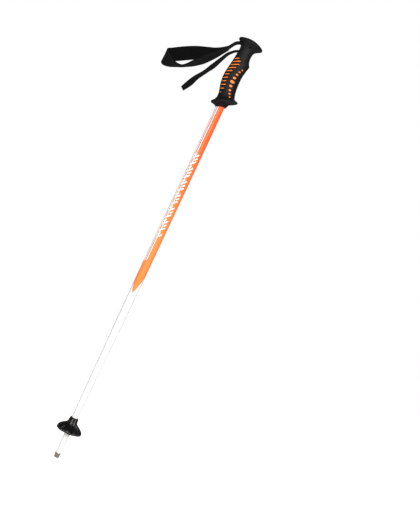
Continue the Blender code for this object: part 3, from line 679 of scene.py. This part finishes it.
strap = {
    "thickness": 1.5, "width": 15.0, "between": 8,
    "loopHinge": (-15.0, 0.0, 935.4), "tailHinge": (-13.2, 0.0, 918.6),
    "layerOffset": 1.0, "exitSlope": 10.0, "turnSteps": 12,
    "innerEnd": 0.55, "bead": 1.16,      # the tail's inner end is pressed thin, its cut end melted
    # one edge x, z, the other edge x, z, the middle's y, the width across
    "loop": [
        (-20.0, 935.6, -20.0, 935.2, 0.0, 15.0), (-26.8, 931.8, -26.5, 931.4, 0.0, 15.0),
        (-33.1, 924.2, -32.3, 923.5, 0.5, 15.2), (-39.4, 916.4, -36.6, 911.1, 2.5, 18.0),
        (-57.8, 905.3, -51.3, 893.0, 6.5, 24.0), (-76.7, 899.6, -67.4, 880.8, 10.0, 27.0),
        (-96.0, 894.1, -86.4, 870.6, 13.0, 28.5), (-114.5, 886.4, -103.7, 860.2, 14.0, 29.0),
        (-131.3, 876.3, -121.2, 849.7, 12.5, 29.3), (-142.6, 867.2, -136.1, 840.7, 7.5, 29.3),
        (-149.3, 861.3, -149.9, 832.0, 0.0, 29.5), (-137.7, 849.9, -145.0, 826.2, -8.0, 29.3),
        (-122.4, 837.8, -131.4, 827.8, -13.0, 29.3), (-108.4, 834.6, -116.0, 834.6, -14.7, 29.3),
        (-97.9, 840.2, -104.0, 840.0, -14.5, 28.8), (-83.8, 859.0, -86.1, 850.4, -13.5, 28.4),
        (-69.8, 878.2, -70.5, 862.2, -11.0, 27.5), (-58.7, 891.5, -56.1, 878.9, -8.0, 23.5),
        (-48.5, 903.3, -44.7, 895.9, -4.0, 18.5), (-40.2, 911.0, -38.4, 908.0, -1.5, 16.5),
        (-31.5, 922.8, -30.7, 922.2, -0.3, 15.2), (-25.5, 930.3, -25.2, 929.9, 0.0, 15.0),
        (-19.6, 933.7, -19.6, 933.3, 0.0, 15.0)],
    "tail": [
        (-17.4, 917.2, -17.2, 916.7, 0.0, 15.0), (-23.6, 912.9, -23.2, 912.4, 0.0, 15.0),
        (-33.7, 903.3, -31.3, 901.7, -0.5, 15.0), (-43.9, 885.4, -38.8, 883.6, -1.0, 15.0),
        (-53.6, 866.9, -46.4, 864.9, -1.5, 15.0), (-62.0, 850.0, -56.1, 849.8, -2.0, 15.0),
        (-74.1, 832.9, -66.6, 831.3, -2.0, 15.0), (-82.3, 819.8, -72.3, 815.0, -2.0, 15.0),
        (-90.3, 800.0, -84.2, 796.7, -2.0, 15.0)],
    "ripple": 0.3,           # how far a soft edge strays from its curve
    "rippleFrom": -24.0, "rippleOver": 25.0,     # it starts at this x and is full this far on
    # points round a section: share of the half width, share of the half thickness
    "section": [(-0.955, 1.0), (-0.90, 1.16), (-0.82, 0.96), (-0.5, 0.98), (-0.2, 1.0), (0.2, 1.0),
                (0.5, 0.98), (0.82, 0.96), (0.90, 1.16), (0.955, 1.0), (0.992, 0.55)],
}

lining = {"stations": (6, 15), "thickness": 1.5, "gap": 0.45, "trim": 1.1, "crown": 0.7,
          "stitchLength": 2.3, "stitchPitch": 3.6, "stitchWidth": 0.75, "inset": 2.3,
          "stitchDip": 0.35, "stitchFlat": 0.7}


def edgePoints(row):
    # both edges of a ribbon: the width that x and z don't show lies along Y
    x0, z0, x1, z1, y, width = row
    seen = math.hypot(x1 - x0, z1 - z0)
    reach = math.sqrt(max(width ** 2 - seen ** 2, 0)) / 2
    return (x0, y - reach, z0), (x1, y + reach, z1)


def edgeRows(rows):
    # the two edges as one row of six numbers each, on smooth curves
    return [(Vector(row[:3]), Vector(row[3:]))
            for row in smoothRows([sum(edgePoints(r), ()) for r in rows], strap["between"])]


def loopPairs():
    pairs = edgeRows(strap["loop"])
    hinge, slope = Vector(strap["loopHinge"]), math.radians(strap["exitSlope"])
    side = Vector((0, strap["width"] / 2, 0))
    for i in range(strap["turnSteps"] + 1):      # a half turn joins the two layers inside the head
        turn = slope - math.pi / 2 + math.pi * i / strap["turnSteps"]
        point = hinge + Vector((math.cos(turn), 0, math.sin(turn))) * strap["layerOffset"]
        pairs.append((point - side, point + side))
    return pairs


def ribbonFrames(pairs, closed):
    # each pair with its unit vector across, its normal and its distance along
    middles = [(a + b) / 2 for a, b in pairs]
    count, along, result = len(pairs), 0.0, []
    for i, (a, b) in enumerate(pairs):
        before = middles[(i - 1) % count] if closed else middles[max(i - 1, 0)]
        after = middles[(i + 1) % count] if closed else middles[min(i + 1, count - 1)]
        across = (a - b).normalized()
        normal = across.cross((after - before).normalized()).normalized()
        if i:
            along += (middles[i] - middles[i - 1]).length
        result.append((middles[i], across, normal, (a - b).length / 2, along))
    return result


def sectionRing(frameRow, thickness, shift=0.0, trim=0.0, crown=0.0, ripple=0.0):
    # points round one section, and their place on the flat webbing
    middle, across, normal, half, along = frameRow
    half -= trim
    upper = strap["section"]
    lower = [(-a, -h) for a, h in upper]
    points, coords = [], []
    for share, height in upper + lower:
        # it strays in long waves that grow towards the edges, and in short ones
        stray = ripple * abs(share) ** 2 * noise.noise(Vector((along * 0.06, share * 3, 7.3)))
        stray += ripple * 0.5 * noise.noise(Vector((along * 0.11, share, 2.1)))
        puff = crown * (1 - share ** 4) if height > 0 else 0.0
        lift = height * thickness / 2 + puff + shift + stray
        points.append(middle + across * half * share + normal * lift)
        coords.append((along * mm, half * share * mm, 0.0))
    return points, coords


def makeRibbon(name, rings, finish, closed):
    piece = makePiece(name, bridge([points for points, _ in rings], closed), finish, 60)
    layer = piece.data.attributes.new("strapCoord", "FLOAT_VECTOR", "POINT")
    for entry, coord in zip(layer.data, [c for _, coords in rings for c in coords]):
        entry.vector = coord
    return piece


def rippleAt(point):
    # no ripple where the webbing runs through the head
    return strap["ripple"] * min(max((strap["rippleFrom"] - point.x) / strap["rippleOver"], 0.0), 1.0)


def stitch(centre, along, across, normal):
    # a flattened grain of thread whose ends dip into the webbing
    rings = []
    for step in range(6):
        share = -1 + 2 * (step + 0.25) / 5.5
        radius = lining["stitchWidth"] / 2 * math.sqrt(max(1 - share ** 4, 0.08))
        middle = centre + along * lining["stitchLength"] / 2 * share
        middle -= normal * lining["stitchDip"] * share ** 2
        rings.append([
            middle + (across * math.cos(t) + normal * math.sin(t) * lining["stitchFlat"]) * radius
            for t in (2 * math.pi * i / 7 for i in range(7))])
    return bridge(rings)


def seam(frames, share, height):
    # a row of stitches along a ribbon, at a share of its half width
    solids, due = [], lining["stitchPitch"] / 2
    start = frames[0][4]
    for row, after in zip(frames, frames[1:]):
        if row[4] - start >= due:
            due += lining["stitchPitch"]
            middle, across, normal, half, _ = row
            along = (after[0] - middle).normalized()
            centre = middle + across * (half - lining["inset"]) * share + normal * height
            solids.append(stitch(centre, along, across, normal))
    return solids


def makeStrap():
    pairs = loopPairs()
    frames = ribbonFrames(pairs, True)
    loop = makeRibbon("handLoop", [sectionRing(row, strap["thickness"], ripple=rippleAt(row[0]))
                                   for row in frames], webbing, True)
    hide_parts("strap_loop")
    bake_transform(loop)
    print("hand loop made")

    first, last = (index * strap["between"] for index in lining["stations"])
    inner = frames[first:last + 1]
    shift = strap["thickness"] / 2 + lining["gap"] + lining["thickness"] / 2
    rings = []
    for i, row in enumerate(inner):
        end = min(i, len(inner) - 1 - i)
        taper = min(end / 3, 1.0)            # its ends are pressed flat by the cross seams
        rings.append(sectionRing(row, lining["thickness"] * (0.6 + 0.4 * taper), shift, lining["trim"],
                                 lining["crown"] * taper, rippleAt(row[0])))
    pad = makeRibbon("loopLining", rings, liningKnit, False)
    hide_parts("strap_lining")
    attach(pad, "hand_loop")

    top = shift + lining["thickness"] / 2 + 0.1
    outerTop = -strap["thickness"] / 2 + 0.1
    solids = [s for height in (top, outerTop) for share in (-1, 1) for s in seam(inner, share, height)]
    for index in (2, 4, len(inner) - 5, len(inner) - 3):      # cross seams at both ends
        middle, across, normal, half, _ = inner[index]
        count = int((half - lining["inset"]) * 2 / lining["stitchPitch"])
        for i in range(count + 1):
            offset = (i - count / 2) * lining["stitchPitch"]
            along = across.cross(normal)
            solids.append(stitch(middle + across * offset + normal * top, across, along, normal))
    threads = makePiece("loopStitching", together(solids), thread, 80)
    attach(threads, "hand_loop")
    print("lining and stitching made")


def makeTail():
    hinge = Vector(strap["tailHinge"])
    side = Vector((0, strap["width"] / 2, 0))
    frames = ribbonFrames([(hinge - side, hinge + side)] + edgeRows(strap["tail"]), False)
    rings = []
    for i, row in enumerate(frames):
        thin = strap["thickness"] * min(i / 2 + strap["innerEnd"], 1.0)
        if i > len(frames) - 4:
            thin *= strap["bead"]
        rings.append(sectionRing(row, thin, ripple=rippleAt(row[0])))
    tail = makeRibbon("strapTail", rings, webbing, False)
    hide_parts("strap_tail")
    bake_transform(tail)
    print("strap tail made")


anchor = {"wrap": 2.45, "steps": 8, "between": 3,
          "from": [(-12.6, 935.2), (-6.0, 934.0), (-3.0, 933.4)],
          "to": [(-2.0, 923.6), (-8.0, 920.2), (-11.7, 918.5)]}


def makeAnchor():
    # the webbing inside the head: in over the top, round the pin and out through the lower slot
    pinX, pinZ = grip["pin"]
    path = list(anchor["from"])
    for i in range(anchor["steps"] + 1):
        turn = math.pi / 2 - math.pi * i / anchor["steps"]
        path.append((pinX + anchor["wrap"] * math.cos(turn), pinZ + anchor["wrap"] * math.sin(turn)))
    path += anchor["to"]
    side = Vector((0, strap["width"] / 2, 0))
    points = [Vector((x, 0, z)) for x, z in smoothRows(path, anchor["between"])]
    pairs = [(point - side, point + side) for point in points]
    frames = ribbonFrames(pairs, False)
    inside = makeRibbon("anchorWebbing", [sectionRing(row, strap["thickness"]) for row in frames],
                        webbing, False)
    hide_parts("strap_anchor")
    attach(inside, "root")


makeStrap()
makeTail()
makeAnchor()


# shaft, ferrule and tip

pole = {
    "steps": 96, "fineSteps": 72, "between": 6, "wall": 1.2,
    # outer radius and z, top to bottom
    "taper": [(9.0, 905.0), (9.0, 650.0), (9.0, 400.0), (8.75, 340.0), (8.4, 281.0), (7.7, 195.0),
              (6.65, 109.0), (6.15, 60.0)],
    "ferrule": [(6.45, 59.7), (6.75, 89.4), (7.0, 89.4), (7.3, 89.15), (7.4, 88.7), (7.4, 72.0),
                (7.55, 71.6), (8.7, 71.3), (9.0, 70.9), (9.0, 70.0), (8.8, 69.5), (7.8, 66.8),
                (7.5, 65.5), (7.4, 60.0), (6.9, 57.0), (6.4, 54.5), (6.1, 51.5), (5.9, 48.0),
                (5.75, 38.0), (5.4, 13.6), (5.55, 13.2), (5.55, 12.2), (5.35, 11.8), (5.2, 10.4),
                (3.1, 10.4), (3.1, 31.3), (0.4, 31.3), (0.4, 59.7)],
    "tip": [(1.8, 0.0), (1.8, 1.8), (2.5, 1.8), (3.7, 0.15), (3.8, 0.0), (4.5, 0.0), (4.65, 0.2),
            (4.8, 1.2), (5.4, 5.0), (5.95, 8.2), (6.0, 8.6), (6.0, 9.5), (5.9, 9.9), (5.7, 10.1),
            (2.8, 10.1), (2.8, 31.0)],
    "teeth": 6, "notch": [(-1.8, -0.5), (1.8, -0.5), (0.0, 5.0)], "notchX": (3.0, 8.0),
}


def makePole():
    outer = smoothRows(pole["taper"], pole["between"])
    inner = [(radius - pole["wall"], z) for radius, z in reversed(outer)]
    rings = [circle(radius, z, pole["steps"]) for radius, z in outer + inner]
    shaft = makePiece("shaftTube", bridge(rings, True), lacquer)
    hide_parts("shaft")
    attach(shaft, "root")

    rings = [circle(radius, z, pole["fineSteps"]) for radius, z in pole["ferrule"]]
    ferrule = makePiece("ferruleSleeve", bridge(rings, True), nylon, 30)
    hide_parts("ferrule")
    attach(ferrule, "root")

    rings = [circle(radius, z, pole["fineSteps"]) for radius, z in pole["tip"]]
    tip = makePiece("crownTip", bridge(rings), steel, 30)
    notches = []
    for i in range(pole["teeth"]):
        turn = Matrix.Rotation(2 * math.pi * (i + 0.5) / pole["teeth"], 4, "Z")
        rings = [[turn @ Vector((x, y, z)) for y, z in pole["notch"]] for x in pole["notchX"]]
        notches.append(bridge(rings))
    carve(tip, together(notches), crease=30)
    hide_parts("tip")
    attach(tip, "root")


makePole()
print("shaft, ferrule and tip made")


# basket

basket = {
    "steps": 288, "lobes": 7, "turn": math.radians(-4.3), "radius": 27.3,
    "hubTop": 90.4, "bore": 7.7, "lip": 6.9, "lipZ": 89.7,
    "ribs": 9, "ribTurn": math.radians(-8.0), "ribHeight": 1.0, "ribHalf": math.radians(9.0),
    "ribZ": (75.6, 88.8), "ribEnds": (1.8, 0.8), "leanFrom": 80.5, "leanOver": 5.0, "lean": 0.9,
    "notchHalf": math.radians(3.6), "notchDepth": 4.8, "notchDip": 1.7, "crownPull": 1.2,
    "crownDip": 1.1, "dipBend": 1.6, "lobesFrom": 12.0,
    "hub": [(8.0, 90.4), (8.25, 90.2), (8.35, 89.8), (8.5, 87.5), (9.1, 82.0), (9.7, 79.6), (10.6, 77.8)],
    "cone": [(12.2, 76.7), (15.0, 75.4), (19.5, 72.4), (23.4, 69.2), (25.6, 66.9), (26.8, 64.9),
             (27.2, 63.6), (27.05, 62.9), (26.3, 62.6), (26.3, 62.2), (27.4, 61.9), (27.6, 61.5),
             (27.5, 60.9), (26.8, 60.6), (25.3, 60.8), (24.9, 61.2), (24.3, 63.6), (23.2, 66.0),
             (20.9, 68.4), (17.5, 71.0), (14.0, 73.0)],
    "under": [(8.0, 72.4), (7.8, 72.6), (7.7, 73.0)],
    "curved": 7, "between": 3,           # the cone's first points lie on one curve with the hub's
    # points of the rim's worn edge, the hub's wear between ribs, and the side that faces the key lamp,
    # where both are painted pale: wear with a painted highlight
    "edge": {(26.8, 64.9): 0.5, (27.2, 63.6): 1.0, (27.05, 62.9): 0.9}, "hubWearAndHighlight": 0.54,
    "litWornSide": math.radians(10.0),
}


def notchAt(angle):
    # 1 in the middle of the gap between two lobes, 0 a few degrees away
    period = 2 * math.pi / basket["lobes"]
    offset = (angle + math.pi / 2 - basket["turn"] + period / 2) % period
    distance = min(offset, period - offset)
    return math.exp(-(distance / basket["notchHalf"]) ** 2)


def ribAt(angle, z):
    period = 2 * math.pi / basket["ribs"]
    offset = (angle + math.pi / 2 - basket["ribTurn"]) % period
    distance = min(offset, period - offset) / basket["ribHalf"]
    low, high = basket["ribZ"]
    ends = min((z - low) / basket["ribEnds"][0], (high - z) / basket["ribEnds"][1])
    if distance >= 1 or ends <= 0:
        return 0.0
    return (1 - distance ** 4) * math.sqrt(min(ends, 1.0))


def basketRing(angle):
    # points round one section, each with how pale its surface is painted: wear together with a painted
    # highlight on the side that faces the lamp
    points = []
    crown = 0.5 - 0.5 * math.cos((angle + math.pi / 2 - basket["turn"]) * basket["lobes"])
    notch, inside = notchAt(angle), basket["lobesFrom"]
    # only the half facing the key lamp and camera is painted pale, so the paleness is a painted highlight
    # as well as wear
    side = max(math.cos(angle + math.pi / 2 - basket["litWornSide"]), 0.0)
    outside = smoothRows(basket["hub"] + basket["cone"][:basket["curved"]], basket["between"])
    for radius, z in outside + basket["cone"][basket["curved"]:]:
        share = max((radius - inside) / (basket["radius"] - inside), 0.0)
        pull = share ** 3 * (basket["notchDepth"] * notch + basket["crownPull"] * crown)
        dip = share * (basket["dipBend"] - share) * basket["notchDip"] * notch
        dip += share * basket["crownDip"] * crown
        # the ribs stand out from the hub and lean over onto the cone
        rib = ribAt(angle, z)
        lean = min(max((basket["leanFrom"] - z) / basket["leanOver"], 0.0), 1.0) * basket["lean"]
        between = basket["hubWearAndHighlight"] if basket["ribZ"][0] < z < basket["ribZ"][1] - 0.5 else 0.0
        worn = max(side ** 3 * max(rib, between), side * basket["edge"].get((radius, z), 0.0))
        points.append((radius - pull + basket["ribHeight"] * rib * math.cos(lean),
                       z - dip + basket["ribHeight"] * rib * math.sin(lean), worn))
    points += [(radius, z, 0.0) for radius, z in basket["under"]]
    points += [(basket["bore"], basket["lipZ"], 0.0), (basket["lip"], basket["lipZ"], 0.0),
               (basket["lip"], basket["hubTop"], 0.0)]
    return [(Vector((r * math.cos(angle), r * math.sin(angle), z)), worn) for r, z, worn in points]


def makeBasket():
    sections = [basketRing(2 * math.pi * i / basket["steps"]) for i in range(basket["steps"])]
    rings = [[point for point, _ in section] for section in sections]
    piece = makePiece("snowBasket", bridge(rings, True), basketPlastic, 32)
    # the paleness of each point: wear and a painted highlight
    rub = piece.data.attributes.new("rub", "FLOAT", "POINT")
    for entry, worn in zip(rub.data, [worn for section in sections for _, worn in section]):
        entry.value = worn
    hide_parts("basket")
    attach(piece, "snow_basket")


makeBasket()
print("basket made")


# studio

studio = {
    "floor": 6.0,
    "floorColour": "#f2f2f2",
    "glow": 1.45, "glowShare": 0.7,      # the ground's own light, which only the camera sees
    "sky": 0.15,             # strength of the even light round the object
    # name, place, size, power, colour
    "lamps": [("keyLamp", (0.35, -2.4, 1.3), 1.0, 110, "#fffdfa"),
              ("backLamp", (0.3, 1.9, 1.7), 1.4, 26, "#ffffff")],
    "aim": (0.0, 0.0, 0.55),
}


def makeStudio():
    world = bpy.data.worlds.new("studioWorld")
    scene.world = world
    world.use_nodes = True
    tree = world.node_tree
    tree.nodes.clear()
    seenDirectly = addNode(tree, "ShaderNodeLightPath").outputs["Is Camera Ray"]
    even = addNode(tree, "ShaderNodeBackground", {"Color": (1, 1, 1, 1), "Strength": studio["sky"]})
    seen = addNode(tree, "ShaderNodeBackground", {"Color": (1, 1, 1, 1), "Strength": 1.0})
    mix = addNode(tree, "ShaderNodeMixShader", {0: seenDirectly, 1: even.outputs[0], 2: seen.outputs[0]})
    addNode(tree, "ShaderNodeOutputWorld", {"Surface": mix.outputs[0]})

    size = studio["floor"] / mm
    corners = [(-size, -size), (size, -size), (size, size), (-size, size)]
    floor = makePiece("studioFloor", ([Vector((x, y, 0.0)) for x, y in corners], [(0, 1, 2, 3)]))
    paper = bpy.data.materials.new("backdropPaper")
    paper.use_nodes = True
    tree = paper.node_tree
    tree.nodes.clear()
    seenDirectly = addNode(tree, "ShaderNodeLightPath").outputs["Is Camera Ray"]
    pale = addNode(tree, "ShaderNodeBsdfDiffuse", {"Color": hexColour(studio["floorColour"])})
    glow = addNode(tree, "ShaderNodeEmission", {"Color": (1, 1, 1, 1), "Strength": studio["glow"]})
    share = addNode(tree, "ShaderNodeMath", {
        "operation": "MULTIPLY", 0: seenDirectly, 1: studio["glowShare"]})
    mix = addNode(tree, "ShaderNodeMixShader", {
        0: share.outputs[0], 1: pale.outputs[0], 2: glow.outputs[0]})
    addNode(tree, "ShaderNodeOutputMaterial", {"Surface": mix.outputs[0]})
    floor.data.materials.append(paper)

    for name, place, width, power, colour in studio["lamps"]:
        data = bpy.data.lights.new(name, "AREA")
        data.size = width
        data.energy = power
        data.color = hexColour(colour)[:3]
        lamp = bpy.data.objects.new(name, data)
        scene.collection.objects.link(lamp)
        lamp.location = place
        lamp.rotation_euler = (Vector(studio["aim"]) - Vector(place)).to_track_quat("-Z", "Y").to_euler()
    scene.view_settings.view_transform = "Standard"


makeStudio()
print("studio ready")
